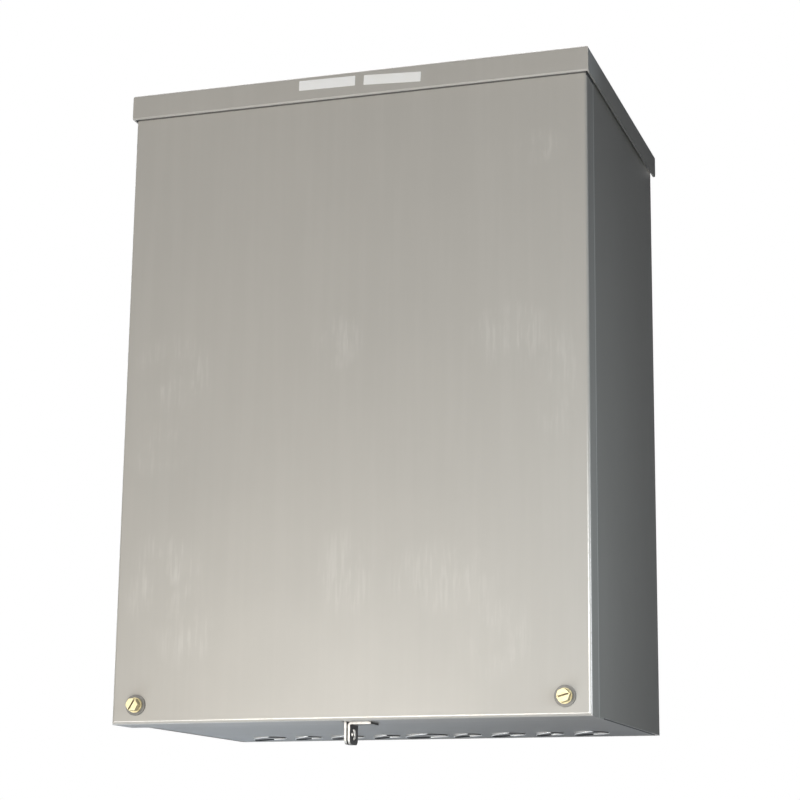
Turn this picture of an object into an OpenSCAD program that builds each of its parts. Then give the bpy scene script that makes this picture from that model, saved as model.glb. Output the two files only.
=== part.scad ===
// Rainproof screw-cover enclosure of folded sheet steel, made to hang on a wall.
// Frame: the origin is the centre of the four wall holes, on the wall plane.
// X runs to the right, Y into the wall and Z up. All lengths are in millimetres.

/* [Body] */
// Width of the body over its side walls
body_w = 457; // [430:1:600]
// Height of the body from its underside to its top flanges
body_h = 620; // [540:1:760]
// Depth of the body from its back sheet to the face of its front returns
body_d = 308; // [240:1:380]
// Thickness of the folded sheet
sheet_t = 1.6; // [1.2:0.1:2]
// Outside radius of the folds
fold_r = 3; // [2.6:0.1:4]
// Width of the front returns of the side walls
return_w = 19; // [14:0.5:21]
// Width of the top flanges under the cap
top_flange_w = 22; // [15:1:30]
// Gap between two sheets of the body that lie side by side
sheet_slip = 0.2; // [0.1:0.1:0.4]

/* [Wall fixing] */
// Distance of the wall holes from the sides of the body
wall_hole_side = 25.5; // [22:0.5:30]
// Distance of the wall holes from the top and the underside of the body
wall_hole_end = 30.5; // [30:0.5:40]
// Diameter of a wall hole
wall_hole_d = 9.5; // [7:0.5:12]
// How far the wall bosses stand out of the back sheet
boss_h = 3; // [2:0.5:5]
// Diameter of a boss's pad
boss_pad_d = 22; // [18:1:24]
// Diameter of a boss's foot
boss_foot_d = 32; // [28:1:34]

/* [Drip cap] */
// Height of the cap's flanges from its top face to its lower edge
cap_h = 25.4; // [22:0.2:32]
// Gap between the cap's skirts and the cover's side flanges
cap_gap = 1; // [0.6:0.1:2]
// Gap between the cap's hem and the cover's face
hem_gap = 0.8; // [0.5:0.1:1.5]
// Height of the hem's inner leaf
hem_h = 9; // [6:0.5:12]
// Radius of the rear lower corners of the skirts
skirt_r = 6; // [2:0.5:10]

/* [Front cover] */
// Gap between the cover and the body at the sides and below
cover_slip = 0.7; // [0.4:0.1:1.2]
// Gap between the cover and the front returns
seat_gap = 0.4; // [0.3:0.1:0.8]
// How far the cover reaches up behind the cap's flange
cover_tuck = 16.8; // [12:0.2:18]
// Depth of the cover's side flanges
side_flange_d = 28; // [20:1:40]
// Depth of the cover's bottom flange
bottom_flange_d = 44; // [43:1:60]

/* [Bottom panel] */
// Height of the bottom panel's front flange
sill_h = 30; // [26:1:36]
// How far the bottom panel's front flange is set back from the front returns
sill_setback = 3; // [2.5:0.5:6]
// Height of the bottom panel's side and back flanges
pan_flange_h = 12; // [8:1:20]
// Length of the open relief at each end of a flange
relief = 1.5; // [1:0.5:3]
// Distance of the knockout row from the back of the body
knockout_back = 62; // [45:1:90]
// Distance between neighbouring knockouts
knockout_pitch = 43; // [40:0.5:46]
// Diameter of the middle knockout
knockout_big_d = 43.7; // [40:0.1:45]
// Diameter of the larger of the other knockouts
knockout_mid_d = 34.5; // [32:0.1:36]
// Diameter of the smaller of the other knockouts
knockout_small_d = 28; // [25:0.1:29]
// Number of knockouts on each side of the middle one
knockouts_a_side = 4; // [2:1:4]
// How far the sides of a twisted knockout stand off the sheet
knockout_lift = 1.8; // [1:0.1:2]

/* [Cover screws] */
// Distance of a screw from the cover's side
screw_inset = 24.4; // [23:0.1:30]
// Height of a screw above the cover's lower edge
screw_rise = 17.7; // [16:0.1:19]
// Diameter of the screw's shank
screw_d = 5.4; // [4.6:0.1:6]
// Length of the screw under its head
screw_l = 20; // [17:0.5:26]
// Width of the hex head across its flats
head_af = 11.1; // [9.5:0.1:13]
// Height of the head from its seat
head_h = 8.2; // [6.5:0.1:10]
// Diameter of the flange under the hex
head_flange_d = 14; // [13:0.1:16]
// Thickness of the flange under the hex
head_flange_t = 1.2; // [0.8:0.1:1.6]
// Height of the bevel around the top of the head
head_bevel = 0.6; // [0.3:0.1:1]
// Width of the driver slot
slot_w = 1.6; // [1.2:0.1:2.2]
// Depth of the driver slot
slot_h = 2.2; // [1.4:0.1:2.6]
// Outside diameter of the washer on the cover
washer_d = 19.5; // [17:0.1:24]
// Thickness of the washer on the cover
washer_t = 1.5; // [1:0.1:2]
// Outside diameter of the retaining ring
retainer_d = 12; // [10.5:0.1:14]
// Thickness of the retaining ring
retainer_t = 1.2; // [0.8:0.1:1.4]
// Room around the shank where it passes the washer and the cover
shank_room = 1; // [0.5:0.1:1.4]
// Room around the shank in the weld nut's thread
thread_room = 0.5; // [0.4:0.05:0.8]

/* [Padlock tabs] */
// Thickness of the tabs
tab_t = 2; // [1.6:0.1:2.5]
// Depth of the tabs from front to back
tab_d = 22; // [18:0.5:24]
// Distance of the tabs' front edge behind the cover's face
tab_back = 20; // [15:0.5:20]
// How far the tabs hang below the cover
tab_drop = 20; // [18:0.5:28]
// Distance of the bracket's outer face to the left of the middle
tab_x = 3; // [0:0.5:20]
// Length of the bracket's welded leg
tab_leg = 22; // [15:0.5:30]
// Gap between the two tabs
tab_gap = 1.4; // [1:0.1:3]
// Diameter of the padlock hole
padlock_d = 10.5; // [8:0.1:11.5]
// Depth of the padlock hole's centre below the cover
padlock_drop = 10.8; // [10:0.1:12]
// Radius of the tabs' lower corners
tab_r = 5; // [3:0.5:7]
// Side clearance of the tab in the cover's notch
notch_room = 1; // [0.6:0.1:1.3]
// Width of the spare notch beside the bracket
notch_w = 5; // [4:0.5:8]
// Distance of the notches' closed end behind the cover's face
notch_start = 9; // [7:0.5:12]

/* [Inside] */
// Space between the mounting panel and the sides of the body
panel_side = 38; // [34:1:60]
// Space between the mounting panel and the top and the underside of the body
panel_end = 43.5; // [42:0.5:70]
// Thickness of the mounting panel
panel_t = 2; // [1.6:0.1:3]
// Radius of the mounting panel's corners
panel_r = 6; // [2:0.5:12]
// Distance of a panel stud from the mounting panel's edges
stud_inset = 12.5; // [11:0.5:25]
// Length of the collar that carries the mounting panel
collar_l = 10; // [8:0.5:20]
// Diameter of the collar
collar_d = 14; // [12:0.5:18]
// Room around a stud in the mounting panel's hole
panel_hole_room = 1.5; // [0.5:0.1:2.5]
// Diameter of the studs
stud_d = 6; // [5:0.1:7]
// Length of a stud beyond what it clamps against
stud_l = 15; // [13:0.5:24]
// Outside diameter of the stud washers
stud_washer_d = 16; // [14:0.5:19]
// Thickness of the stud washers
stud_washer_t = 1.4; // [1:0.1:2]
// Width of the nuts across their flats
nut_af = 11; // [10:0.1:13]
// Height of the nuts
nut_h = 5; // [4:0.1:6]
// Height of the bevel around the top of a nut
nut_bevel = 0.9; // [0.4:0.1:1.2]
// Room around a stud in its nut and washer
stud_room = 0.2; // [0.1:0.05:0.4]
// Distance of the ground stud to the right of the middle
ground_x = 120; // [60:1:160]
// Height of the ground stud above the underside
ground_rise = 26; // [22:1:30]
// Thickness of the ground stud's weld foot
ground_foot_t = 1; // [0.6:0.1:2]
// Setback of the top rail from the front returns
rail_setback = 10; // [9:0.5:14]
// Depth of the top rail's upper leg
rail_leg = 25; // [18:1:30]
// Height of the top rail
rail_h = 28; // [22:1:34]

/* [Hidden] */
$fn = 96;
// Little overshoot that lets a cut pass clean through a face
eps = 1;
fold_in = fold_r - sheet_t;
half_w = body_w / 2;
half_h = body_h / 2;
back_y = -boss_h;
inner_back_y = back_y - sheet_t;
front_y = back_y - body_d;
wall_hole_x = half_w - wall_hole_side;
wall_hole_z = half_h - wall_hole_end;
rail_y = front_y + rail_setback;

// Cover
cover_back_y = front_y - seat_gap;
cover_y = cover_back_y - sheet_t;
cover_half = half_w + cover_slip + sheet_t;
cover_z = -half_h - cover_slip - sheet_t;
flange_z = cover_z + sheet_t;

// Cap: the hem is the front flange folded back flat on itself
cap_top = half_h + sheet_t;
cap_z = cap_top - cap_h;
cap_half = cover_half + cap_gap + sheet_t;
hem_y = cover_y - hem_gap;
hem_t = 2 * sheet_t + sheet_slip;
cap_y = hem_y - hem_t;
hem_r = hem_t / 2;
hem_axis_z = cap_z + hem_r;
cover_top = cap_z + cover_tuck;

// The side walls stop short of the cover where its top edge swings in
return_top = cap_z - sheet_t;
return_foot = -half_h + sill_h + relief;

// Bottom panel
pan_half = half_w - sheet_t - sheet_slip;
pan_front_y = front_y + sill_setback;
pan_back_y = inner_back_y - sheet_slip;
pan_top = -half_h + sheet_t;
knockout_y = back_y - knockout_back;

// Screws
screw_x = cover_half - screw_inset;
screw_z = cover_z + screw_rise;
seat_y = cover_y - washer_t;
turn_gap = 0.1;
retainer_gap = 0.3;
shank_hole_d = screw_d + 2 * shank_room;
thread_d = screw_d + 2 * thread_room;

// Padlock tabs
tab_y = cover_y + tab_back;
body_tab_x = tab_x + tab_gap + tab_t;
padlock_z = cover_z - padlock_drop;
tab_fold_in = fold_r - tab_t;

// Studs
panel_y = inner_back_y - collar_l;
panel_face_y = panel_y - panel_t;
panel_x = half_w - panel_side;
panel_z = half_h - panel_end;
stud_x = panel_x - stud_inset;
stud_z = panel_z - stud_inset;
ground_z = -half_h + ground_rise;
ground_seat_y = inner_back_y - ground_foot_t;
panel_hole_d = stud_d + 2 * panel_hole_room;

// Flat outline with its own radius at each corner: lower left, lower right, upper right, upper left
module rounded(x0, y0, x1, y1, r) {
    corners = [[x0, y0, 1, 1], [x1, y0, -1, 1], [x1, y1, -1, -1], [x0, y1, 1, -1]];
    difference() {
        translate([x0, y0])
            square([x1 - x0, y1 - y0]);
        for (i = [0:3])
            if (r[i] > 0)
                translate([corners[i][0], corners[i][1]])
                    square(2 * r[i], center = true);
    }
    for (i = [0:3])
        if (r[i] > 0)
            translate([corners[i][0] + corners[i][2] * r[i], corners[i][1] + corners[i][3] * r[i]])
                circle(r[i]);
}

// Quarter of a folded sheet around a centre, in the quadrant that the two signs name
module fold(centre, quadrant, t = sheet_t) {
    translate(centre)
        intersection() {
            difference() {
                circle(fold_r);
                circle(fold_r - t);
            }
            translate([quadrant[0] > 0 ? 0 : -fold_r, quadrant[1] > 0 ? 0 : -fold_r])
                square(fold_r);
        }
}

// Flat shape on X and Z, extruded along Y
module along_y(y0, y1) {
    translate([0, y1, 0])
        rotate([90, 0, 0])
            linear_extrude(y1 - y0)
                children();
}

// Flat shape on Y and Z, extruded along X
module along_x(x0, x1) {
    translate([x0, 0, 0])
        rotate([90, 0, 90])
            linear_extrude(x1 - x0)
                children();
}

// Turned shape whose axis runs along Y: its own Z points out of the enclosure
module facing_front(x, y, z) {
    translate([x, y, z])
        rotate([90, 0, 0])
            children();
}

module both_sides() {
    for (side = [0, 1])
        mirror([side, 0, 0])
            children();
}

module ring(outer_d, inner_d, h) {
    difference() {
        cylinder(d = outer_d, h = h);
        translate([0, 0, -eps])
            cylinder(d = inner_d, h = h + 2 * eps);
    }
}

// Hexagon with the corners of its top face turned off
module hex(af, h, bevel) {
    corner_d = af / cos(30);
    intersection() {
        cylinder(d = corner_d, h = h, $fn = 6);
        union() {
            cylinder(d = corner_d, h = h - bevel);
            translate([0, 0, h - bevel])
                cylinder(d1 = corner_d, d2 = af, h = bevel);
        }
    }
}

module hex_nut(bore_d) {
    difference() {
        hex(nut_af, nut_h, nut_bevel);
        translate([0, 0, -eps])
            cylinder(d = bore_d, h = nut_h + 2 * eps);
    }
}

module at_wall_holes() {
    for (x = [-1, 1], z = [-1, 1])
        translate([x * wall_hole_x, 0, z * wall_hole_z])
            children();
}

module at_panel_studs() {
    for (x = [-1, 1], z = [-1, 1])
        translate([x * stud_x, 0, z * stud_z])
            children();
}

// Back and sides in one folded sheet, open to the front between the returns
module wrap_profile() {
    difference() {
        rounded(-half_w, front_y, half_w, back_y, [fold_r, fold_r, fold_r, fold_r]);
        rounded(-half_w + sheet_t, front_y + sheet_t, half_w - sheet_t, inner_back_y,
            [fold_in, fold_in, fold_in, fold_in]);
        translate([-half_w + return_w, front_y - eps])
            square([body_w - 2 * return_w, sheet_t + 2 * eps]);
    }
}

// Fold and flange at the top of a wall whose outer face lies at x = edge
module top_flange_profile(edge) {
    fold([edge - fold_r, half_h - fold_r], [1, 1]);
    translate([edge - top_flange_w, half_h - sheet_t])
        square([top_flange_w - fold_r, sheet_t]);
}

module wall_boss(inset) {
    rotate([-90, 0, 0])
        translate([0, 0, back_y - inset])
            cylinder(d1 = boss_foot_d, d2 = boss_pad_d, h = boss_h);
}

module body_shell() {
    color("dimgray")
        difference() {
            union() {
                translate([0, 0, -half_h])
                    linear_extrude(body_h - fold_r)
                        wrap_profile();
                both_sides()
                    along_y(rail_y + rail_leg + relief, back_y - fold_r - relief)
                        top_flange_profile(half_w);
                along_x(-half_w + fold_r + relief, half_w - fold_r - relief)
                    top_flange_profile(back_y);
                at_wall_holes()
                    wall_boss(0);
            }
            // the head and the foot of the side walls stand back from the cover
            translate([-half_w - eps, front_y - eps, return_top])
                cube([body_w + 2 * eps, rail_setback + eps, half_h - return_top]);
            translate([-half_w - eps, front_y - eps, -half_h - eps])
                cube([body_w + 2 * eps, sill_setback + eps, return_foot + half_h + eps]);
            at_wall_holes() {
                wall_boss(sheet_t);
                rotate([90, 0, 0])
                    cylinder(d = wall_hole_d, h = 4 * boss_h, center = true);
            }
        }
}

// A knockout is sheared all round and twisted, so that it holds on at its front and back
module knockout(d) {
    intersection() {
        cylinder(d = d, h = 4 * knockout_lift, center = true);
        rotate([0, -asin(2 * knockout_lift / d), 0])
            cube([2 * d, 2 * d, sheet_t], center = true);
    }
}

module at_knockouts() {
    for (i = [-knockouts_a_side:knockouts_a_side])
        translate([i * knockout_pitch, knockout_y, -half_h + sheet_t / 2]) {
            $d = i == 0 ? knockout_big_d : abs(i) % 2 == 1 ? knockout_small_d : knockout_mid_d;
            children();
        }
}

module pan_side_profile() {
    fold([pan_half - fold_r, -half_h + fold_r], [1, -1]);
    translate([pan_half - sheet_t, -half_h + fold_r])
        square([sheet_t, pan_flange_h - fold_r]);
}

module pan_front_profile() {
    fold([pan_front_y + fold_r, -half_h + fold_r], [-1, -1]);
    translate([pan_front_y, -half_h + fold_r])
        square([sheet_t, sill_h - fold_r]);
}

module pan_back_profile() {
    fold([pan_back_y - fold_r, -half_h + fold_r], [1, -1]);
    translate([pan_back_y - sheet_t, -half_h + fold_r])
        square([sheet_t, pan_flange_h - fold_r]);
}

module bottom_panel() {
    base_x = pan_half - fold_r;
    base_front = pan_front_y + fold_r;
    base_back = pan_back_y - fold_r;
    color("slategray") {
        difference() {
            union() {
                translate([-base_x, base_front, -half_h])
                    cube([2 * base_x, base_back - base_front, sheet_t]);
                both_sides()
                    along_y(base_front + relief, base_back - relief)
                        pan_side_profile();
                along_x(-base_x + relief, base_x - relief)
                    pan_front_profile();
                along_x(-base_x + relief, base_x - relief)
                    pan_back_profile();
            }
            at_knockouts()
                cylinder(d = $d, h = 2 * sheet_t, center = true);
            both_sides()
                facing_front(screw_x, pan_front_y + sheet_t + eps, screw_z)
                    cylinder(d = shank_hole_d, h = sheet_t + 2 * eps);
            // slot that lets the padlock tab hang through
            translate([-body_tab_x - tab_fold_in - sheet_slip, tab_y - sheet_slip, -half_h - eps])
                cube([tab_t + tab_fold_in + 2 * sheet_slip, tab_d + 2 * sheet_slip, sheet_t + 2 * eps]);
        }
        at_knockouts()
            knockout($d);
    }
}

module drip_cap() {
    inner_half = cap_half - sheet_t;
    inner_y = cap_y + sheet_t;
    color("gray") {
        difference() {
            intersection() {
                along_y(cap_y, back_y)
                    rounded(-cap_half, cap_z, cap_half, cap_top, [0, 0, fold_r, fold_r]);
                along_x(-cap_half, cap_half)
                    rounded(cap_y, cap_z, back_y, cap_top, [0, skirt_r, 0, fold_r]);
            }
            intersection() {
                along_y(inner_y, back_y + eps)
                    rounded(-inner_half, cap_z - eps, inner_half, half_h, [0, 0, fold_in, fold_in]);
                along_x(-cap_half, cap_half)
                    rounded(inner_y, cap_z - eps, back_y + eps, half_h, [0, 0, 0, fold_in]);
            }
            translate([-cap_half - eps, cap_y - eps, cap_z - eps])
                cube([2 * (cap_half + eps), hem_t + eps, hem_r + eps]);
        }
        along_x(-cap_half, cap_half)
            translate([cap_y + hem_r, hem_axis_z])
                circle(hem_r);
        translate([-inner_half, inner_y, hem_axis_z])
            cube([2 * inner_half, hem_t - sheet_t, hem_h - hem_r]);
    }
}

module top_rail() {
    color("dimgray")
        along_x(-pan_half, pan_half) {
            fold([rail_y + fold_r, half_h - fold_r], [-1, 1]);
            translate([rail_y, half_h - rail_h])
                square([sheet_t, rail_h - fold_r]);
            translate([rail_y + fold_r, half_h - sheet_t])
                square([rail_leg - fold_r, sheet_t]);
        }
}

// Notch through the cover's bottom flange, open at its rear edge
module flange_notch(x, w) {
    translate([x, cover_y + notch_start, cover_z - eps])
        cube([w, bottom_flange_d, sheet_t + 2 * eps]);
}

module front_cover() {
    rear_y = cover_y + bottom_flange_d;
    color("darkgray")
        difference() {
            intersection() {
                translate([0, 0, cover_z])
                    linear_extrude(cover_top - cover_z)
                        rounded(-cover_half, cover_y, cover_half, rear_y, [fold_r, fold_r, 0, 0]);
                along_x(-cover_half, cover_half)
                    rounded(cover_y, cover_z, rear_y, cover_top, [fold_r, 0, 0, 0]);
            }
            intersection() {
                translate([0, 0, flange_z])
                    linear_extrude(cover_top - flange_z + eps)
                        rounded(-cover_half + sheet_t, cover_back_y, cover_half - sheet_t, rear_y + eps,
                            [fold_in, fold_in, 0, 0]);
                along_x(-cover_half, cover_half)
                    rounded(cover_back_y, flange_z, rear_y + eps, cover_top + eps, [fold_in, 0, 0, 0]);
            }
            // the side flanges are shallower than the bottom one
            translate([-cover_half - eps, cover_y + side_flange_d, flange_z])
                cube([2 * (cover_half + eps), bottom_flange_d, cover_top - flange_z + eps]);
            both_sides()
                facing_front(screw_x, cover_back_y + eps, screw_z)
                    cylinder(d = shank_hole_d, h = sheet_t + 2 * eps);
            flange_notch(-body_tab_x - notch_room, tab_t + 2 * notch_room);
            flange_notch(tab_leg - tab_x, notch_w);
        }
}

module cover_screw() {
    difference() {
        union() {
            cylinder(d = head_flange_d, h = head_flange_t);
            hex(head_af, head_h, head_bevel);
            translate([0, 0, -screw_l + screw_d / 4])
                cylinder(d = screw_d, h = screw_l);
            translate([0, 0, -screw_l])
                cylinder(d1 = screw_d / 2, d2 = screw_d, h = screw_d / 4);
        }
        translate([-head_flange_d, -slot_w / 2, head_h - slot_h])
            cube([2 * head_flange_d, slot_w, slot_h + eps]);
    }
}

module cover_screw_at(side, turn) {
    color("goldenrod")
        facing_front(side * screw_x, seat_y - turn_gap, screw_z)
            rotate([0, 0, turn])
                cover_screw();
}

module cover_washer_at(side) {
    color("silver")
        facing_front(side * screw_x, cover_y, screw_z)
            ring(washer_d, shank_hole_d, washer_t);
}

module screw_retainer_at(side) {
    color("silver")
        facing_front(side * screw_x, cover_back_y + retainer_gap + retainer_t, screw_z)
            ring(retainer_d, screw_d + 2 * sheet_slip, retainer_t);
}

module cover_nuts() {
    color("silver")
        both_sides()
            translate([screw_x, pan_front_y + sheet_t, screw_z])
                rotate([-90, 0, 0])
                    hex_nut(thread_d);
}

// Upright leg of a padlock tab, between its top edge and its rounded foot
module tab_plate(x, top) {
    along_x(x, x + tab_t)
        difference() {
            rounded(tab_y, cover_z - tab_drop, tab_y + tab_d, top, [tab_r, tab_r, 0, 0]);
            translate([tab_y + tab_d / 2, padlock_z])
                circle(d = padlock_d);
        }
}

module padlock_bracket() {
    color("silver")
        union() {
            tab_plate(-tab_x, cover_z - fold_r);
            along_y(tab_y, tab_y + tab_d) {
                fold([-tab_x + fold_r, cover_z - fold_r], [-1, 1], tab_t);
                translate([-tab_x + fold_r, cover_z - tab_t])
                    square([tab_leg - fold_r, tab_t]);
            }
        }
}

module padlock_tab() {
    leg_top = pan_top + tab_t;
    edge_x = -body_tab_x + tab_t;
    color("silver")
        union() {
            tab_plate(-body_tab_x, leg_top - fold_r);
            along_y(tab_y, tab_y + tab_d) {
                fold([edge_x - fold_r, leg_top - fold_r], [1, 1], tab_t);
                translate([edge_x - tab_leg, pan_top])
                    square([tab_leg - fold_r, tab_t]);
            }
        }
}

module mounting_panel() {
    color("whitesmoke")
        difference() {
            along_y(panel_face_y, panel_y)
                rounded(-panel_x, -panel_z, panel_x, panel_z, [panel_r, panel_r, panel_r, panel_r]);
            at_panel_studs()
                facing_front(0, panel_y + eps, 0)
                    cylinder(d = panel_hole_d, h = panel_t + 2 * eps);
        }
}

module panel_studs() {
    color("silver")
        at_panel_studs()
            facing_front(0, inner_back_y, 0) {
                cylinder(d = collar_d, h = collar_l);
                translate([0, 0, collar_l])
                    cylinder(d = stud_d, h = panel_t + stud_l);
            }
}

module panel_washers() {
    color("silver")
        at_panel_studs()
            facing_front(0, panel_face_y, 0)
                ring(stud_washer_d, stud_d + 2 * stud_room, stud_washer_t);
}

module panel_nuts() {
    color("silver")
        at_panel_studs()
            facing_front(0, panel_face_y - stud_washer_t, 0)
                hex_nut(stud_d + 2 * stud_room);
}

module ground_stud() {
    color("goldenrod")
        facing_front(ground_x, inner_back_y, ground_z) {
            cylinder(d = collar_d, h = ground_foot_t);
            translate([0, 0, ground_foot_t])
                cylinder(d = stud_d, h = stud_l);
        }
}

module ground_washer() {
    color("goldenrod")
        facing_front(ground_x, ground_seat_y, ground_z)
            ring(stud_washer_d, stud_d + 2 * stud_room, stud_washer_t);
}

module ground_nut() {
    color("limegreen")
        facing_front(ground_x, ground_seat_y - stud_washer_t, ground_z)
            hex_nut(stud_d + 2 * stud_room);
}

body_shell();
bottom_panel();
drip_cap();
top_rail();
front_cover();
cover_screw_at(-1, 60);  // cover_screw_left
cover_screw_at(1, 15);  // cover_screw_right
cover_washer_at(-1);  // cover_washer_left
cover_washer_at(1);  // cover_washer_right
screw_retainer_at(-1);  // screw_retainer_left
screw_retainer_at(1);  // screw_retainer_right
cover_nuts();
padlock_bracket();
padlock_tab();
mounting_panel();
panel_studs();
panel_washers();
panel_nuts();
ground_stud();
ground_washer();
ground_nut();
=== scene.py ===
import bpy
import math
from mathutils import Matrix, Vector


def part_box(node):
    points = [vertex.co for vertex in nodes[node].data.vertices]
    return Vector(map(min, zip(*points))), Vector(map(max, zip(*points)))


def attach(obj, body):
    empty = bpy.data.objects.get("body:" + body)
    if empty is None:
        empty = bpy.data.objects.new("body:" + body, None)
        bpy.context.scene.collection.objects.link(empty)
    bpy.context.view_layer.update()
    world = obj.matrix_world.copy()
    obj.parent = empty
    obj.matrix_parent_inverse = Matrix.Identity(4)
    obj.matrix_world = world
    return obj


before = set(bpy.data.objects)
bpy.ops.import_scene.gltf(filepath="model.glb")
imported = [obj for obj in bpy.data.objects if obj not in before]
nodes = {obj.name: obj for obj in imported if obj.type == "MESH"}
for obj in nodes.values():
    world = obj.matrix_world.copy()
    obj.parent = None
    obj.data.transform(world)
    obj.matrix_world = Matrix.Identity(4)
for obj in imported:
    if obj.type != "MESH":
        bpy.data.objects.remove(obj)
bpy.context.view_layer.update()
scene = bpy.context.scene
mm = 0.001


# a socket takes either a wire or a plain value
def plug(value, socket):
    if isinstance(value, Wire):
        value.tree.links.new(value.socket, socket)
    else:
        socket.default_value = value


# node maths: a wire is an output socket that can be added, scaled and compared
class Wire:
    def __init__(self, tree, socket):
        self.tree = tree
        self.socket = socket

    def make(self, kind, settings=None, links=None, out=0):
        node = self.tree.nodes.new(kind)
        for key, value in (settings or {}).items():
            setattr(node, key, value)
        for key, value in (links or {}).items():
            plug(value, node.inputs[key])
        return Wire(self.tree, node.outputs[out])

    def calc(self, operation, first, second=0.0):
        return self.make("ShaderNodeMath", {"operation": operation}, {0: first, 1: second})

    def __add__(self, other):
        return self.calc("ADD", self, other)

    def __radd__(self, other):
        return self.calc("ADD", other, self)

    def __sub__(self, other):
        return self.calc("SUBTRACT", self, other)

    def __rsub__(self, other):
        return self.calc("SUBTRACT", other, self)

    def __mul__(self, other):
        return self.calc("MULTIPLY", self, other)

    def __rmul__(self, other):
        return self.calc("MULTIPLY", other, self)

    def __lt__(self, other):
        return self.calc("LESS_THAN", self, other)

    def __gt__(self, other):
        return self.calc("GREATER_THAN", self, other)

    def __abs__(self):
        return self.calc("ABSOLUTE", self)

    def either(self, other):
        return self.calc("MAXIMUM", self, other)

    def ramp(self, low, high):
        return self.make("ShaderNodeMapRange", {"interpolation_type": "SMOOTHSTEP"},
                         {0: self, 1: low, 2: high})

    def split(self):
        node = self.tree.nodes.new("ShaderNodeSeparateXYZ")
        plug(self, node.inputs[0])
        return [Wire(self.tree, out) for out in node.outputs]

    def blend(self, under, over):
        return self.make("ShaderNodeMix", {"data_type": "RGBA"}, {0: self, 6: under, 7: over}, 2)


def rgba(colour):
    return (*colour, 1.0)


# a material with its place and facing on the piece at hand
class Finish:
    def __init__(self, name):
        self.material = bpy.data.materials.new(name)
        self.material.use_nodes = True
        self.tree = self.material.node_tree
        self.shader = self.tree.nodes["Principled BSDF"]
        coords = self.tree.nodes.new("ShaderNodeTexCoord")
        self.place = Wire(self.tree, coords.outputs["Object"])
        self.x, self.y, self.z = self.place.split()
        self.facingX, self.facingY, self.facingZ = Wire(self.tree, coords.outputs["Normal"]).split()

    def noise(self, scale, detail=4.0, stretch=(1, 1, 1), rough=0.55):
        spread = self.place.make("ShaderNodeMapping", None, {"Vector": self.place, "Scale": stretch})
        return self.place.make("ShaderNodeTexNoise", None,
                               {"Vector": spread, "Scale": scale, "Detail": detail, "Roughness": rough})

    # noise cut off at both ends of a span, so that it falls into patches
    def patches(self, scale, span, detail=4.0, stretch=(1, 1, 1)):
        return self.noise(scale, detail, stretch).ramp(*span)

    # fine bumps, handed back so that the roughness can follow them
    def grain(self, scale, strength, depth, detail=2.0):
        height = self.noise(scale, detail)
        self.feed("Normal", self.place.make("ShaderNodeBump", None, {
            "Height": height, "Strength": strength, "Distance": depth}))
        return height

    def feed(self, name, value):
        plug(value, self.shader.inputs[name])


# satin grey paint over galvanised sheet, with bare metal at the sheared edges; its pale colours also serve
# as painted highlights and painted reflections, and its near-black as painted shade
greyPaint = {
    "colour": (0.445, 0.419, 0.376),
    "dark": (0.415, 0.392, 0.354),
    "pale": (0.575, 0.553, 0.508),
    # bare metal at cut edges; the same colour paints highlight lines on the bends and the knockouts
    "bareAndHighlight": (0.86, 0.85, 0.83),
    # lighter paint for rubbed wear, also used as painted highlight and painted reflection
    "lightened": (0.72, 0.70, 0.645),
    # near-black used only as painted shade
    "paintedShade": (0.045, 0.045, 0.048),
    "roughness": 0.40,
    "coat": 0.3,
    "coatRoughness": 0.2,
    "mottle": {"scale": 5.0, "span": (0.35, 0.68)},
    "mottleShare": 0.55,
    "mottleRough": 0.06,
    "streak": {"scale": 9.0, "span": (0.40, 0.72), "detail": 5.0},
    "streakShare": 0.08,
    "streakRough": 0.05,
    "upright": (10, 10, 0.45),
    "crosswise": (0.7, 12, 12),
    "shadeRough": 0.5,
    "grit": {"scale": 420.0, "span": (0.25, 0.6), "detail": 3.0},
    "gritLeast": 0.55,
    "bareAndHighlightPolish": 0.12,
    "bareAndHighlightMetal": 0.9,
    "peel": {"scale": 900.0, "strength": 0.06, "depth": 0.0004},
}


# each mask gives a share at a place on the piece: of bare metal and painted highlight, of wear and painted
# light, of painted shade
def paintFinish(name, bareAndHighlightMask=None, wearAndLightMask=None, shadeMask=None, tone=1.0, grain="upright"):
    look = greyPaint
    paint = Finish(name)
    mottle = paint.patches(**look["mottle"])
    streak = paint.patches(**look["streak"], stretch=look[grain])
    base, dark, pale = [rgba(c * tone for c in look[key]) for key in ("colour", "dark", "pale")]
    colour = (mottle * look["mottleShare"]).blend(base, dark)
    colour = (streak * look["streakShare"]).blend(colour, pale)
    rough = look["roughness"] + (mottle - 0.5) * look["mottleRough"] + streak * look["streakRough"]
    coat = look["coat"]
    # lighter where rubbed, and painted light where the mask stands for a highlight or a reflection
    if wearAndLightMask:
        colour = wearAndLightMask(paint).blend(colour, rgba(look["lightened"]))
    # painted shade: darker in gaps, creases and on faces turned from the light
    if shadeMask:
        paintedShade = shadeMask(paint)
        colour = paintedShade.blend(colour, rgba(look["paintedShade"]))
        rough = rough + paintedShade * look["shadeRough"]
        coat = (1 - paintedShade) * coat
    # bare metal at cut edges, and painted highlights where the mask draws them
    if bareAndHighlightMask:
        grit = paint.patches(**look["grit"])
        bareAndHighlight = bareAndHighlightMask(paint) * (look["gritLeast"] + (1 - look["gritLeast"]) * grit)
        colour = bareAndHighlight.blend(colour, rgba(look["bareAndHighlight"]))
        rough = rough - bareAndHighlight * look["bareAndHighlightPolish"]
        paint.feed("Metallic", bareAndHighlight * look["bareAndHighlightMetal"])
    paint.feed("Base Color", colour)
    paint.feed("Roughness", rough)
    paint.feed("Coat Weight", coat)
    paint.feed("Coat Roughness", look["coatRoughness"])
    paint.grain(**look["peel"])
    return paint.material


cutWidth = 0.25 * mm
squareOn = 0.7  # share of its normal along an axis from which a face counts as turned that way


def near(wire, place):
    return abs(wire - place) < cutWidth


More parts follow.
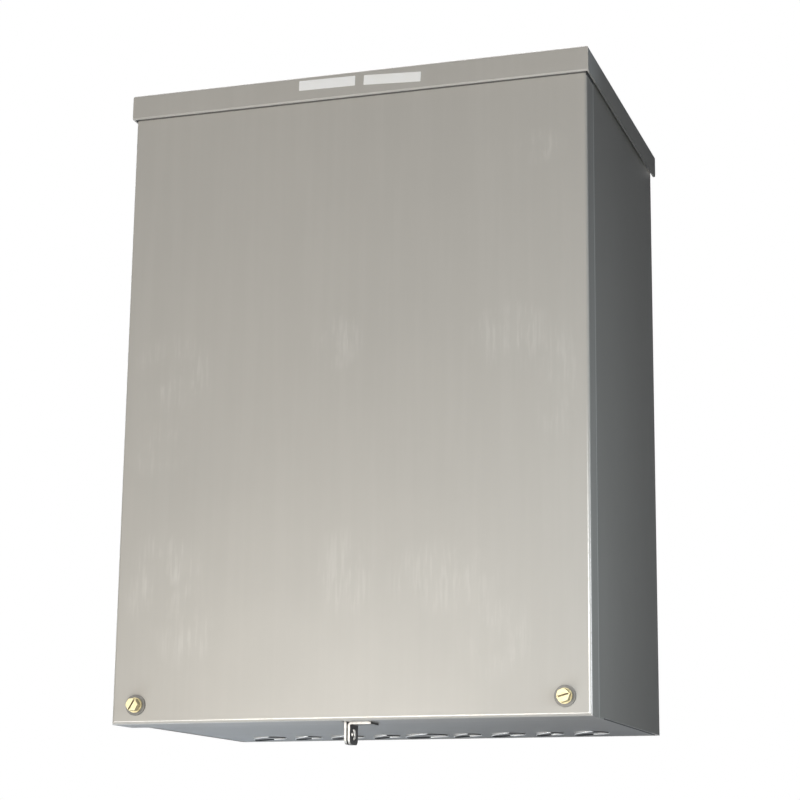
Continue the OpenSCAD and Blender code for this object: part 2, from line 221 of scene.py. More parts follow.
def within(wire, low, high):
    return (wire > low) * (wire < high)


def sideways(paint):
    return abs(paint.facingX) > squareOn


# where the painted pieces begin and end
coverLow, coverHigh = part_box("front_cover")
capLow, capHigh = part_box("drip_cap")
shellLow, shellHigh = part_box("body_shell")
panLow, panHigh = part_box("bottom_panel")
tabLow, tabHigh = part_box("padlock_bracket")

# the bend and foot lines are spans of the facing across and up, and are painted highlights; the gap and slit
# entries give painted shade and a painted shadow
coverWearAndLight = {
    "flangeRear": coverLow.y + 28 * mm,
    "flangeInset": 3 * mm,
    "bendLines": [(0.10, 0.42), (0.70, 0.94)],
    "bendFade": (15 * mm, -230 * mm),
    "bendFront": -0.3,
    "bendHighlight": 0.85,
    "footLines": [(-0.26, -0.08), (-0.97, -0.80)],
    "footFade": (100 * mm, -150 * mm),
    "footLeast": 0.35,
    "footFront": -0.2,
    "footHighlight": 0.55,
    "rearWidth": 3.2 * mm,
    "rearPale": 0.95,
    "sidePale": 0.16,
    "gapHeight": 2.6 * mm,
    "gapShade": 0.9,
    "slit": (0.7 * mm, 2.0 * mm),
    "slitShadow": 0.72,
}


# cut edges are bare, and the bends carry painted highlight lines where they begin and where they end
def coverEdges(paint):
    look = coverWearAndLight
    beyond = abs(paint.x) > coverHigh.x - look["flangeInset"]
    side = near(paint.y, look["flangeRear"]) * beyond
    cut = side.either(near(paint.y, coverHigh.y)).either(near(paint.z, coverHigh.z))
    begin, end = [within(paint.facingX, *line) for line in look["bendLines"]]
    bend = begin.either(end) * paint.z.ramp(*look["bendFade"]) * (paint.facingY < look["bendFront"])
    leftward = look["footLeast"] + (1 - look["footLeast"]) * paint.x.ramp(*look["footFade"])
    begin, end = [within(paint.facingZ, *line) for line in look["footLines"]]
    foot = begin.either(end * leftward) * (paint.facingY < look["footFront"])
    return cut.either(bend * look["bendHighlight"]).either(foot * look["footHighlight"])


# rubbed places on the front of the cover: middle across and up, half width and half height, strength
coverScuffs = {
    "dash": {"scale": 30.0, "span": (0.46, 0.66), "detail": 2.0, "stretch": (11, 11, 0.9)},
    "cloud": {"scale": 34.0, "span": (0.34, 0.64), "detail": 3.0, "stretch": (1, 1, 0.7)},
    "dashLeast": 0.25,
    "front": -0.9,
    "spots": [
        {"middle": (-182 * mm, -182 * mm), "half": (48 * mm, 62 * mm), "strength": 0.32},
        {"middle": (-160 * mm, -225 * mm), "half": (36 * mm, 44 * mm), "strength": 0.24},
        {"middle": (-180 * mm, 22 * mm), "half": (52 * mm, 46 * mm), "strength": 0.26},
        {"middle": (-192 * mm, -50 * mm), "half": (40 * mm, 34 * mm), "strength": 0.20},
        {"middle": (0 * mm, -178 * mm), "half": (40 * mm, 50 * mm), "strength": 0.19},
        {"middle": (-12 * mm, 44 * mm), "half": (30 * mm, 34 * mm), "strength": 0.22},
        {"middle": (95 * mm, -185 * mm), "half": (66 * mm, 42 * mm), "strength": 0.18},
        {"middle": (143 * mm, -240 * mm), "half": (40 * mm, 46 * mm), "strength": 0.18},
        {"middle": (158 * mm, 36 * mm), "half": (46 * mm, 40 * mm), "strength": 0.21},
        {"middle": (200 * mm, -10 * mm), "half": (28 * mm, 70 * mm), "strength": 0.18},
        {"middle": (186 * mm, 217 * mm), "half": (30 * mm, 22 * mm), "strength": 0.24},
    ],
}


def spotRub(paint, spot):
    across = (paint.x - spot["middle"][0]) * (1 / spot["half"][0])
    up = (paint.z - spot["middle"][1]) * (1 / spot["half"][1])
    return (across * across + up * up).ramp(1.0, 0.0) * spot["strength"]


# the side flanges are painted a little paler too, and most along their rear edges
def coverRubbedAndPale(paint):
    dash = paint.patches(**coverScuffs["dash"])
    strokes = coverScuffs["dashLeast"] + (1 - coverScuffs["dashLeast"]) * dash
    rubs = [spotRub(paint, spot) for spot in coverScuffs["spots"]]
    scuffed = rubs[0]
    for rub in rubs[1:]:
        scuffed = scuffed.either(rub)
    scuffed = scuffed * strokes * paint.patches(**coverScuffs["cloud"])
    scuffed = scuffed * (paint.facingY < coverScuffs["front"])
    side = sideways(paint)
    rear = within(paint.y, coverWearAndLight["flangeRear"] - coverWearAndLight["rearWidth"], coverWearAndLight["flangeRear"])
    flanges = (side * rear * coverWearAndLight["rearPale"]).either(side * coverWearAndLight["sidePale"])
    return scuffed.either(flanges)


# painted shade beside the cover up under the cap, and a painted shadow in the slit below the cap's hem
def coverShade(paint):
    beside = sideways(paint) * (paint.z > capLow.z - coverWearAndLight["gapHeight"])
    below, above = coverWearAndLight["slit"]
    slit = (paint.facingY < -squareOn) * within(paint.z, capLow.z - below, capLow.z + above)
    return (beside * coverWearAndLight["gapShade"]).either(slit * coverWearAndLight["slitShadow"])


# the cap's painted light and painted shade: a highlight on the hem, a reflection on the skirts, shade inside
# and under them
capLightAndShade = {
    "hemHeight": 0.6 * mm,
    "hemDepth": 6 * mm,
    "hemHighlight": 0.15,
    "sheenLength": 75 * mm,
    "sheenStrength": 0.95,
    "skirt": 1.0 * mm,
    "insideShade": 0.9,
    "underShade": 0.45,
}


def capEdges(paint):
    return near(paint.y, capHigh.y)


# a painted highlight along the hem's lower edge, and a painted reflection on the skirts, strongest towards
# the front
def capLight(paint):
    hem = (paint.z < capLow.z + capLightAndShade["hemHeight"]) * (paint.y < capLow.y + capLightAndShade["hemDepth"])
    sheen = sideways(paint) * paint.y.ramp(capLow.y + capLightAndShade["sheenLength"], capLow.y)
    return (hem * capLightAndShade["hemHighlight"]).either(sheen * capLightAndShade["sheenStrength"])


# painted shade inside the skirts beside the cover, and along their lower edges behind it
def capShade(paint):
    inward = abs(paint.x) < capHigh.x - capLightAndShade["skirt"]
    inside = inward * sideways(paint) * (paint.y < coverWearAndLight["flangeRear"])
    under = (paint.facingZ < -squareOn) * (paint.z < capLow.z + capLightAndShade["skirt"])
    under = under * (paint.y > coverWearAndLight["flangeRear"])
    return (inside * capLightAndShade["insideShade"]).either(under * capLightAndShade["underShade"])


# the side walls are painted paler just under the cap: painted light against the shade of the skirts
shellUnderCapLight = {"underCap": 0.5 * mm, "lightened": 0.15}


def shellLight(paint):
    return sideways(paint) * (paint.z > capLow.z - shellUnderCapLight["underCap"]) * shellUnderCapLight["lightened"]


# one row of nine, the big one in the middle, with small and mid ones in turn on each side
knockouts = {
    "pitch": 43 * mm,
    "row": shellHigh.y - 65 * mm,
    "big": 21.85 * mm,
    "mid": 17.25 * mm,
    "small": 14.0 * mm,
    "lift": 1.8 * mm,
    "aSide": 4,
}
# painted highlight and painted shade on the knockouts, and painted shade in the bends at the sides
panWearAndLight = {
    "sheetHeight": 6 * mm,
    "reachSquared": 1.06,
    "rimFacing": 0.6,
    "rimSpan": (-0.12, 0.08),
    "proudSpan": (0.0, 0.3),
    "proudHighlight": 0.55,
    "gapSpan": (-0.02, -0.25),
    "gapShade": 0.95,
    "creviceWidth": 3.2 * mm,
    "creviceShade": 0.92,
}


# each twisted knockout has a painted highlight where it stands proud of the sheet, its sheared rim bare
# there, and painted shade where it leaves a gap
def knockoutTwist(paint):
    index = paint.place.calc("ROUND", paint.x * (1 / knockouts["pitch"]))
    odd = paint.place.calc("MODULO", abs(index), 2.0) > 0.5
    radius = knockouts["mid"] - odd * (knockouts["mid"] - knockouts["small"])
    radius = radius + (abs(index) < 0.5) * (knockouts["big"] - knockouts["mid"])
    across = paint.place.calc("DIVIDE", paint.x - index * knockouts["pitch"], radius)
    back = paint.place.calc("DIVIDE", paint.y - knockouts["row"], radius)
    inside = (across * across + back * back) < panWearAndLight["reachSquared"]
    inside = inside * (abs(index) < knockouts["aSide"] + 0.5)
    return inside * (paint.z < panLow.z + panWearAndLight["sheetHeight"]), across * back


def panEdges(paint):
    inside, twist = knockoutTwist(paint)
    rim = (abs(paint.facingZ) < panWearAndLight["rimFacing"]) * twist.ramp(*panWearAndLight["rimSpan"])
    return inside * rim.either(twist.ramp(*panWearAndLight["proudSpan"]) * panWearAndLight["proudHighlight"])


# painted shade sits in the bends along the sides of the underside too, and in the knockout gaps
def panShade(paint):
    inside, twist = knockoutTwist(paint)
    crevice = abs(paint.x) > panHigh.x - panWearAndLight["creviceWidth"]
    crevice = crevice * (paint.z < panLow.z + panWearAndLight["sheetHeight"])
    gap = inside * twist.ramp(*panWearAndLight["gapSpan"])
    return (crevice * panWearAndLight["creviceShade"]).either(gap * panWearAndLight["gapShade"])


# bare cut ends and bore, and painted shade on the tab's right face
tabWearAndShade = {
    "endFacing": 0.6,
    "endBare": 0.4,
    "boreFacing": 0.5,
    "boreInset": 5 * mm,
    "boreFoot": 2 * mm,
    "boreHead": 4 * mm,
    "faceFacing": 0.6,
    "faceShade": 0.8,
}


def tabEdges(paint):
    ends = abs(paint.facingY) > tabWearAndShade["endFacing"]
    bore = within(paint.y, tabLow.y + tabWearAndShade["boreInset"], tabHigh.y - tabWearAndShade["boreInset"])
    bore = bore * within(paint.z, tabLow.z + tabWearAndShade["boreFoot"], tabHigh.z - tabWearAndShade["boreHead"])
    bore = bore * (abs(paint.facingX) < tabWearAndShade["boreFacing"])
    return (ends * tabWearAndShade["endBare"]).either(bore)


# the tab's right face is darkened: painted shade
def tabShade(paint):
    return (paint.facingX > tabWearAndShade["faceFacing"]) * tabWearAndShade["faceShade"]


# plated metal, and a near-black that paints shadow in the knockout gaps, with a fine grain and cloudy tints
plating = {
    "yellow": {"colour": (0.78, 0.70, 0.42), "tint": (0.70, 0.57, 0.31), "roughness": 0.44, "metal": 0.35},
    "sheared": {"colour": (0.93, 0.925, 0.91), "tint": (0.86, 0.855, 0.84), "roughness": 0.40, "metal": 0.5},
    "grime": {"colour": (0.022, 0.022, 0.024), "tint": (0.03, 0.029, 0.028), "roughness": 0.9, "metal": 0.0},
    "washer": {"colour": (0.175, 0.17, 0.16), "tint": (0.135, 0.13, 0.12), "roughness": 0.42, "metal": 0.3},
    "bright": {"colour": (0.33, 0.33, 0.32), "tint": (0.27, 0.275, 0.28), "roughness": 0.46, "metal": 0.35},
}
plateGrain = {
    "cloud": {"scale": 260.0, "span": (0.35, 0.7), "detail": 3.0},
    "cloudShare": 0.7,
    "grain": {"scale": 1500.0, "strength": 0.08, "depth": 0.00015},
    "grainRough": 0.16,
}
# painted shade for the screw slot and the head's flanks
slotShadeLook = {
    "colour": (0.16, 0.095, 0.045),
    "from": 0.5 * mm,
    "depth": 2.7 * mm,
    "reach": 4.8 * mm,
    "flank": 8.0 * mm,
    "flankFacing": 0.4,
    "flankShare": 0.6,
    "least": 0.7,
    "roughen": 0.3,
}


def platedFinish(name, look, shadeMask=None):
    metal = Finish(name)
    cloud = metal.patches(**plateGrain["cloud"])
    grain = metal.grain(**plateGrain["grain"])
    colour = (cloud * plateGrain["cloudShare"]).blend(rgba(look["colour"]), rgba(look["tint"]))
    rough = look["roughness"] + (grain - 0.5) * plateGrain["grainRough"]
    metallic = look["metal"]
    # painted shade, where a mask is given
    if shadeMask:
        paintedShade = shadeMask(metal) * (slotShadeLook["least"] + (1 - slotShadeLook["least"]) * cloud)
        colour = paintedShade.blend(colour, rgba(slotShadeLook["colour"]))
        rough = rough + paintedShade * slotShadeLook["roughen"]
        metallic = (1 - paintedShade) * metallic
    metal.feed("Metallic", metallic)
    metal.feed("Base Color", colour)
    metal.feed("Roughness", rough)
    return metal.material


# painted shade lies in the driver slot, on its floor and its walls, and on the flanks of the head
def slotShade(metal):
    low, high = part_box("cover_screw_left")
    middleZ = (low.z + high.z) / 2
    halfSpan = abs(low.x + high.x) / 2
    across = abs(metal.x) - halfSpan
    up = metal.z - middleZ
    inside = (across * across + up * up) < slotShadeLook["reach"] * slotShadeLook["reach"]
    sunk = within(metal.y, low.y + slotShadeLook["from"], low.y + slotShadeLook["depth"])
    flank = (abs(metal.facingY) < slotShadeLook["flankFacing"]) * (metal.y < low.y + slotShadeLook["flank"])
    return (inside * sunk).either(flank * slotShadeLook["flankShare"])


whiteEnamel = {
    "colour": (0.80, 0.80, 0.775),
    "shade": (0.74, 0.74, 0.71),
    "cloud": {"scale": 7.0, "span": (0.35, 0.7)},
    "cloudShare": 0.6,
    "roughness": 0.36,
    "cloudRough": 0.06,
    "peel": {"scale": 700.0, "strength": 0.05, "depth": 0.0004},
}


def enamelFinish(name):
    look = whiteEnamel
    enamel = Finish(name)
    cloud = enamel.patches(**look["cloud"])
    enamel.feed("Base Color", (cloud * look["cloudShare"]).blend(rgba(look["colour"]), rgba(look["shade"])))
    enamel.feed("Roughness", look["roughness"] + cloud * look["cloudRough"])
    enamel.grain(**look["peel"])
    return enamel.material


yellowZinc = platedFinish("yellowZinc", plating["yellow"])
screwZinc = platedFinish("screwZinc", plating["yellow"], slotShade)
brightZinc = platedFinish("brightZinc", plating["bright"])
washerZinc = platedFinish("washerZinc", plating["washer"])
finishes = {
    "front_cover": paintFinish("coverPaint", coverEdges, coverRubbedAndPale, coverShade),
    "drip_cap": paintFinish("capPaint", capEdges, capLight, capShade),
    "body_shell": paintFinish("shellPaint", wearAndLightMask=shellLight, tone=0.98),
    "bottom_panel": paintFinish("panPaint", panEdges, shadeMask=panShade, tone=0.95, grain="crosswise"),
    "top_rail": paintFinish("railPaint", tone=0.9),
    "padlock_bracket": paintFinish("bracketPaint", tabEdges, shadeMask=tabShade, tone=0.8),
    "mounting_panel": enamelFinish("panelEnamel"),
}
finishes["padlock_tab"] = finishes["padlock_bracket"]
for name in ("ground_stud", "ground_washer", "ground_nut"):
    finishes[name] = yellowZinc
for side in ("left", "right"):
    finishes["cover_screw_" + side] = screwZinc
    finishes["cover_washer_" + side] = washerZinc
for name, piece in nodes.items():
    piece.data.materials.clear()
    piece.data.materials.append(finishes.get(name, brightZinc))
print("finishes:", len(bpy.data.materials), "materials")


def newPiece(name, mesh, body):
    piece = bpy.data.objects.new(name, mesh)
    scene.collection.objects.link(piece)
    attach(piece, body)
    return piece


# blank label strips on the front of the cap
labels = {
    "size": (58.0 * mm, 10.0 * mm),
    "corner": 0.8 * mm,
    "thickness": 0.14 * mm,
    "cornerSteps": 5,
    "strips": [
        {"name": "label_strip_left", "centre": (-27.0 * mm, 302.0 * mm), "turn": -0.8, "age": 0.05},
        {"name": "label_strip_right", "centre": (39.8 * mm, 299.8 * mm), "turn": -2.8, "age": 0.45},
    ],
}
labelFilm = {
    "fresh": (0.97, 0.96, 0.94),
    "aged": (0.93, 0.915, 0.865),
    "cloud": {"scale": 90.0, "span": (0.3, 0.75)},
    "cloudShare": 0.4,
    "roughness": 0.45,
    "cloudRough": 0.1,
    "grain": {"scale": 1200.0, "strength": 0.04, "depth": 0.0002},
}


def labelFinish(name, age):
    look = labelFilm
    film = Finish(name)
    cloud = film.patches(**look["cloud"])
    tone = cloud * look["cloudShare"] + age
    film.feed("Base Color", tone.blend(rgba(look["fresh"]), rgba(look["aged"])))
    film.feed("Roughness", look["roughness"] + cloud * look["cloudRough"])
    film.grain(**look["grain"])
    return film.material


def labelStrip(strip):
    corner, steps = labels["corner"], labels["cornerSteps"]
    halfW, halfH = labels["size"][0] / 2, labels["size"][1] / 2
    turn = Matrix.Rotation(math.radians(strip["turn"]), 2)
    ring = []
    for quarter, (sx, sz) in enumerate(((1, 1), (-1, 1), (-1, -1), (1, -1))):
        for step in range(steps + 1):
            angle = math.pi / 2 * (quarter + step / steps)
            flat = Vector((sx * (halfW - corner) + corner * math.cos(angle),
                           sz * (halfH - corner) + corner * math.sin(angle)))
            ring.append(turn @ flat + Vector(strip["centre"]))
    count = len(ring)
    corners = [(flat.x, capLow.y - depth, flat.y) for depth in (0, labels["thickness"]) for flat in ring]
    back, front = range(count), range(count, 2 * count)
    walls = [(front[i - 1], back[i - 1], back[i], front[i]) for i in range(count)]
    mesh = bpy.data.meshes.new(strip["name"])
    mesh.from_pydata(corners, [], [tuple(reversed(back)), tuple(front), *walls])
    mesh.materials.append(labelFinish(strip["name"] + "Film", strip["age"]))
    newPiece(strip["name"], mesh, "enclosure")


for strip in labels["strips"]:
    labelStrip(strip)
print("labels:", len(labels["strips"]))


# a tree takes seats and named sizes, stands a shape on each seat, makes it real and coats it
def openTree(name, sizes):
    tree = bpy.data.node_groups.new(name, "GeometryNodeTree")
    face = tree.interface
    face.new_socket("Geometry", in_out="INPUT", socket_type="NodeSocketGeometry")
    for size in sizes:
        face.new_socket(size, in_out="INPUT", socket_type="NodeSocketFloat")
    face.new_socket("Geometry", in_out="OUTPUT", socket_type="NodeSocketGeometry")
    entry = tree.nodes.new("NodeGroupInput")
    return [Wire(tree, entry.outputs[label]) for label in ("Geometry", *sizes)]


def closeTree(seats, shape, material, scale=(1, 1, 1)):
    stood = seats.make("GeometryNodeInstanceOnPoints", None, {
        "Points": seats, "Instance": shape, "Scale": scale})
    real = seats.make("GeometryNodeRealizeInstances", None, {"Geometry": stood})
    coated = seats.make("GeometryNodeSetMaterial", None, {"Geometry": real, "Material": material})
    leave = seats.tree.nodes.new("NodeGroupOutput")
    plug(coated, leave.inputs[0])
    return seats.tree


def bakeNodes(name, base, tree, values, body):
    carrier = bpy.data.objects.new(name + "Carrier", base)
    scene.collection.objects.link(carrier)
    modifier = carrier.modifiers.new("spread", "NODES")
    modifier.node_group = tree
    for item in tree.interface.items_tree:
        if item.in_out == "INPUT" and item.name in values:
            modifier[item.identifier] = values[item.name]
    bpy.context.view_layer.update()
    graph = bpy.context.evaluated_depsgraph_get()
    mesh = bpy.data.meshes.new_from_object(carrier.evaluated_get(graph), depsgraph=graph)
    mesh.name = name
    bpy.data.objects.remove(carrier)
    return newPiece(name, mesh, body)


# rolled threads on the screws and the studs, as a ridge that winds round each seat
threads = {
    "sides": 3,
    "stepsPerTurn": 24,
    "screw": {"radius": 2.74 * mm, "ridge": 0.42 * mm, "pitch": 1.27 * mm, "length": 13.5 * mm},
    "screwTip": 1.2 * mm,
    "stud": {"radius": 2.96 * mm, "ridge": 0.30 * mm, "pitch": 1.0 * mm, "length": 8.0 * mm},
    "studTip": 0.8 * mm,
    "studRim": 7.0 * mm,
}


def threadTree(material):
    seats, radius, ridge, turns, length = openTree("windThread", ("Radius", "Ridge", "Turns", "Length"))
    wind = seats.make("GeometryNodeCurveSpiral", None, {
        "Resolution": threads["stepsPerTurn"], "Rotations": turns,
        "Start Radius": radius, "End Radius": radius, "Height": length})
    section = seats.make("GeometryNodeCurvePrimitiveCircle", None, {
        "Resolution": threads["sides"], "Radius": ridge})
    wound = seats.make("GeometryNodeCurveToMesh", None, {
        "Curve": wind, "Profile Curve": section, "Fill Caps": True})
    laid = seats.make("GeometryNodeTransform", None, {
        "Geometry": wound, "Rotation": (math.radians(90), 0, 0)})
    return closeTree(seats, laid, material)


def windThreads(name, seats, look, tree, body):
    base = bpy.data.meshes.new(name + "Seats")
    base.from_pydata([tuple(seat) for seat in seats], [], [])
    values = {"Radius": look["radius"], "Ridge": look["ridge"], "Length": look["length"],
              "Turns": look["length"] / look["pitch"]}
    bakeNodes(name, base, tree, values, body)


def middle(node):
    low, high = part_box(node)
    return (low + high) / 2


yellowThread = threadTree(yellowZinc)
brightThread = threadTree(brightZinc)
for side in ("left", "right"):
    node = "cover_screw_" + side
    seat = middle(node)
    seat.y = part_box(node)[1].y - threads["screwTip"]
    windThreads("thread_" + node, [seat], threads["screw"], yellowThread, "screw_" + side)
studLow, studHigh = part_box("panel_studs")
studRim = threads["studRim"]
studReach = threads["studTip"] + threads["stud"]["length"]
studSeats = [Vector((x, studLow.y + studReach, z))
             for x in (studLow.x + studRim, studHigh.x - studRim)
             for z in (studLow.z + studRim, studHigh.z - studRim)]
windThreads("thread_panel_studs", studSeats, threads["stud"], brightThread, "enclosure")
groundSeat = middle("ground_stud")
groundSeat.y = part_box("ground_stud")[0].y + studReach
windThreads("thread_ground_stud", [groundSeat], threads["stud"], yellowThread, "enclosure")
print("threads: screws and studs wound")


# sheared rims of the knockouts: bright burrs front left on the disc and back right on the sheet, and dark
# beads across from them that paint the shadow in the gaps; thickness is a share of the radius, hang a share
# of the drop
burrs = {
    "drop": 1.0 * mm,
    "hang": 0.35,
    "thickness": 0.02,
    "taper": 0.6,
    "steps": 20,
    "bright": [
        {"start": 184.0, "sweep": 104.0, "tilted": True},
        {"start": -8.0, "sweep": 108.0, "tilted": False},
    ],
    "grime": [
        {"start": 286.0, "sweep": 70.0, "tilted": False},
        {"start": 98.0, "sweep": 78.0, "tilted": True},
    ],
}


def burrTree(arcs, material):
    seats, lift, drop = openTree("curlBurr", ("Lift", "Drop"))
    join = seats.tree.nodes.new("GeometryNodeJoinGeometry")
    for look in arcs:
        arc = seats.make("GeometryNodeCurveArc", None, {
            "Resolution": burrs["steps"], "Radius": 1.0,
            "Start Angle": math.radians(look["start"]), "Sweep Angle": math.radians(look["sweep"])})
        if look["tilted"]:
            across = seats.make("GeometryNodeInputPosition").split()[0]
            tilt = seats.make("ShaderNodeCombineXYZ", None, {"Z": across * lift})
            arc = seats.make("GeometryNodeSetPosition", None, {"Geometry": arc, "Offset": tilt})
        plug(arc, join.inputs[0])
    joined = Wire(seats.tree, join.outputs[0])
    along = seats.make("GeometryNodeSplineParameter", out="Factor")
    taper = along.calc("POWER", along.calc("SINE", along * math.pi), burrs["taper"])
    thinned = seats.make("GeometryNodeSetCurveRadius", None, {"Curve": joined, "Radius": taper})
    upright = seats.make("GeometryNodeSetCurveNormal", {"mode": "Z_UP"}, {"Curve": thinned})
    section = seats.make("GeometryNodeCurvePrimitiveQuadrilateral", None, {
        "Width": burrs["thickness"], "Height": drop})
    lip = seats.make("GeometryNodeCurveToMesh", None, {
        "Curve": upright, "Profile Curve": section, "Fill Caps": True})
    rim = seats.make("GeometryNodeInputNamedAttribute", {"data_type": "FLOAT"}, {"Name": "rimRadius"})
    size = seats.make("ShaderNodeCombineXYZ", None, {"X": rim, "Y": rim, "Z": 1.0})
    return closeTree(seats, lip, material, size)


def rimRadius(place):
    if place == 0:
        return knockouts["big"]
    return knockouts["small"] if place % 2 else knockouts["mid"]


def curlBurrs(name, arcs, material):
    places = range(-knockouts["aSide"], knockouts["aSide"] + 1)
    height = shellLow.z - burrs["drop"] * burrs["hang"]
    base = bpy.data.meshes.new(name + "Seats")
    base.from_pydata([(place * knockouts["pitch"], knockouts["row"], height) for place in places], [], [])
    radius = base.attributes.new("rimRadius", "FLOAT", "POINT")
    for item, place in zip(radius.data, places):
        item.value = rimRadius(place)
    values = {"Lift": knockouts["lift"], "Drop": burrs["drop"]}
    return bakeNodes(name, base, burrTree(arcs, material), values, "enclosure")


curled = curlBurrs("knockout_burrs", burrs["bright"], platedFinish("burrMetal", plating["sheared"]))
# dark beads standing in for the shade in the knockout gaps: painted shadow
beads = curlBurrs("knockout_shadow", burrs["grime"], platedFinish("gapShadow", plating["grime"]))
print("knockouts:", len(curled.data.polygons) + len(beads.data.polygons), "faces of burr and grime")


# camera low at the front right, looking up at the cover
cameraLook = {
    "place": (0.6330, -2.0304, -0.4430),
    "yaw": 16.393,
    "pitch": 12.631,
    "roll": 0.167,
    "focalPixels": 2004.2,
    "framePixels": 800,
    "centrePixel": (480, 420),
    "sensor": 36.0,
    "clip": (0.05, 60.0),
}


def addCamera():
    look = cameraLook
    data = bpy.data.cameras.new("camera")
    data.sensor_width = look["sensor"]
    data.lens = look["focalPixels"] / look["framePixels"] * look["sensor"]
    data.shift_x = 0.5 - look["centrePixel"][0] / look["framePixels"]
    data.shift_y = look["centrePixel"][1] / look["framePixels"] - 0.5
    data.clip_start, data.clip_end = look["clip"]
    camera = bpy.data.objects.new("camera", data)
    scene.collection.objects.link(camera)
    turn = (Matrix.Rotation(math.radians(look["yaw"]), 4, "Z")
            @ Matrix.Rotation(math.radians(90 + look["pitch"]), 4, "X")
            @ Matrix.Rotation(math.radians(look["roll"]), 4, "Z"))
    camera.matrix_world = Matrix.Translation(look["place"]) @ turn
    scene.camera = camera


# soft light from low in front, with weak fill for the sides that the camera doesn't see
lamps = [
    {"name": "key", "place": (-0.07, -0.70, -0.51), "aim": (-0.03, -0.31, -0.29),
     "size": (0.24, 0.22), "power": 0.55, "colour": (1.0, 0.94, 0.84)},
    {"name": "fill", "place": (-0.98, -3.1, -0.45), "aim": (0.0, -0.31, 0.0),
     "size": (0.55, 1.4), "power": 28, "colour": (1.0, 0.965, 0.90)},
    {"name": "front", "place": (0.25, -3.6, -0.3), "aim": (0.0, -0.31, 0.0),
     "size": (0.9, 0.9), "power": 26, "colour": (1.0, 0.975, 0.93)},
    {"name": "side", "place": (0.62, -0.56, -0.24), "aim": (0.23, -0.25, -0.1),
     "size": (0.45, 0.45), "power": 1.45, "colour": (0.80, 0.91, 1.0)},
    {"name": "under", "place": (-0.45, -0.95, -1.25), "aim": (-0.05, -0.25, -0.31),
     "size": (0.9, 0.12), "power": 3.2, "colour": (0.76, 0.88, 1.0)},
    {"name": "top", "place": (-0.3, 0.2, 2.2), "aim": (0.0, -0.15, 0.3),
     "size": (1.6, 1.6), "power": 26, "colour": (1.0, 1.0, 1.0)},
    {"name": "rear", "place": (-1.3, 1.9, 0.6), "aim": (0.0, 0.0, 0.0),
     "size": (1.6, 1.6), "power": 34, "colour": (1.0, 1.0, 1.0)},
]


def addLamp(look):
    data = bpy.data.lights.new(look["name"], "AREA")
    data.shape = "RECTANGLE"
    data.size, data.size_y = look["size"]
    data.energy = look["power"]
    data.color = look["colour"]
    lamp = bpy.data.objects.new(look["name"], data)
    scene.collection.objects.link(lamp)
    place = Vector(look["place"])
    way = (Vector(look["aim"]) - place).to_track_quat("-Z", "Y")
    lamp.matrix_world = Matrix.Translation(place) @ way.to_matrix().to_4x4()
    lamp.visible_camera = False


stageLook = {
    "backdrop": (1.0, 1.0, 1.0),
    "ambient": (0.066, 0.079, 0.102),
    "floorZ": -1.6,
    "floorHalf": 9.0,
    "floorColour": (0.64, 0.66, 0.69),
    "floorShade": 0.96,
    "floorCloud": {"scale": 1.2, "detail": 3.0},
    "floorRoughness": 0.85,
    "floorGlow": (0.60, 0.61, 0.62),
    "cardFade": (-0.32, 0.16),
    "cardRoughness": 0.95,
    "cards": [
        {"name": "sideCard", "place": (0.238, 0.12, -0.75), "size": (1.2, 1.9),
         "colour": (0.03, 0.03, 0.032), "far": (0.03, 0.03, 0.032)},
        {"name": "footCard", "place": (-1.4, 0.10, -0.85), "size": (1.6, 0.54),
         "colour": (0.56, 0.62, 0.70), "far": (0.16, 0.178, 0.21)},
    ],
}


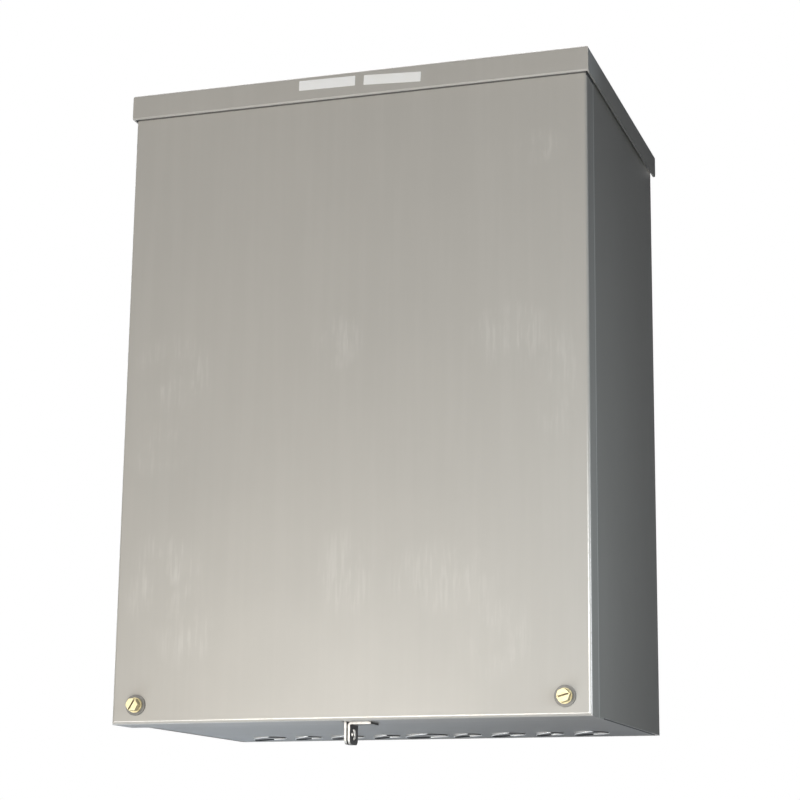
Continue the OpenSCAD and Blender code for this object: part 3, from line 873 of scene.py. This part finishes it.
# rays that show the backdrop as it is: straight to the camera, mirrored or let through
def seenRays(tree):
    rays = tree.nodes.new("ShaderNodeLightPath")
    camera, glossy, through = [Wire(tree, rays.outputs[key]) for key in
                               ("Is Camera Ray", "Is Glossy Ray", "Is Transmission Ray")]
    return camera.either(glossy).either(through)


def flatSheet(name, corners, material):
    mesh = bpy.data.meshes.new(name)
    mesh.from_pydata(corners, [], [(0, 1, 2, 3)])
    mesh.materials.append(material)
    sheet = bpy.data.objects.new(name, mesh)
    scene.collection.objects.link(sheet)
    return sheet


def addFloor():
    paper = Finish("floorPaper")
    cloud = paper.noise(**stageLook["floorCloud"])
    shade = rgba(c * stageLook["floorShade"] for c in stageLook["floorColour"])
    paper.feed("Base Color", cloud.blend(rgba(stageLook["floorColour"]), shade))
    paper.feed("Roughness", stageLook["floorRoughness"])
    glow = seenRays(paper.tree).blend(rgba((0, 0, 0)), rgba(stageLook["floorGlow"]))
    paper.feed("Emission Color", glow)
    paper.feed("Emission Strength", 1.0)
    half, level = stageLook["floorHalf"], stageLook["floorZ"]
    corners = [(x * half, y * half, level) for x, y in ((-1, -1), (1, -1), (1, 1), (-1, 1))]
    floor = flatSheet("floor", corners, paper.material)


# cards behind the part, to its right and below, that darken what its right side and underside reflect
def addCard(look):
    felt = Finish(look["name"] + "Felt")
    fade = felt.x.ramp(*stageLook["cardFade"])
    felt.feed("Base Color", fade.blend(rgba(look["colour"]), rgba(look["far"])))
    felt.feed("Roughness", stageLook["cardRoughness"])
    (left, back, foot), (width, height) = look["place"], look["size"]
    corners = [(left + x * width, back, foot + z * height) for x, z in ((0, 0), (1, 0), (1, 1), (0, 1))]
    card = flatSheet(look["name"], corners, felt.material)
    card.visible_camera = False


def addWorld():
    world = bpy.data.worlds.new("studio")
    scene.world = world
    world.use_nodes = True
    tree = world.node_tree
    backdrop = tree.nodes["Background"]
    colour = seenRays(tree).blend(rgba(stageLook["ambient"]), rgba(stageLook["backdrop"]))
    plug(colour, backdrop.inputs["Color"])
    backdrop.inputs["Strength"].default_value = 1.0


addCamera()
addFloor()
for card in stageLook["cards"]:
    addCard(card)
addWorld()
for lamp in lamps:
    addLamp(lamp)
scene.view_settings.view_transform = "Standard"
print("stage: camera, floor, world and", len(lamps), "lamps")
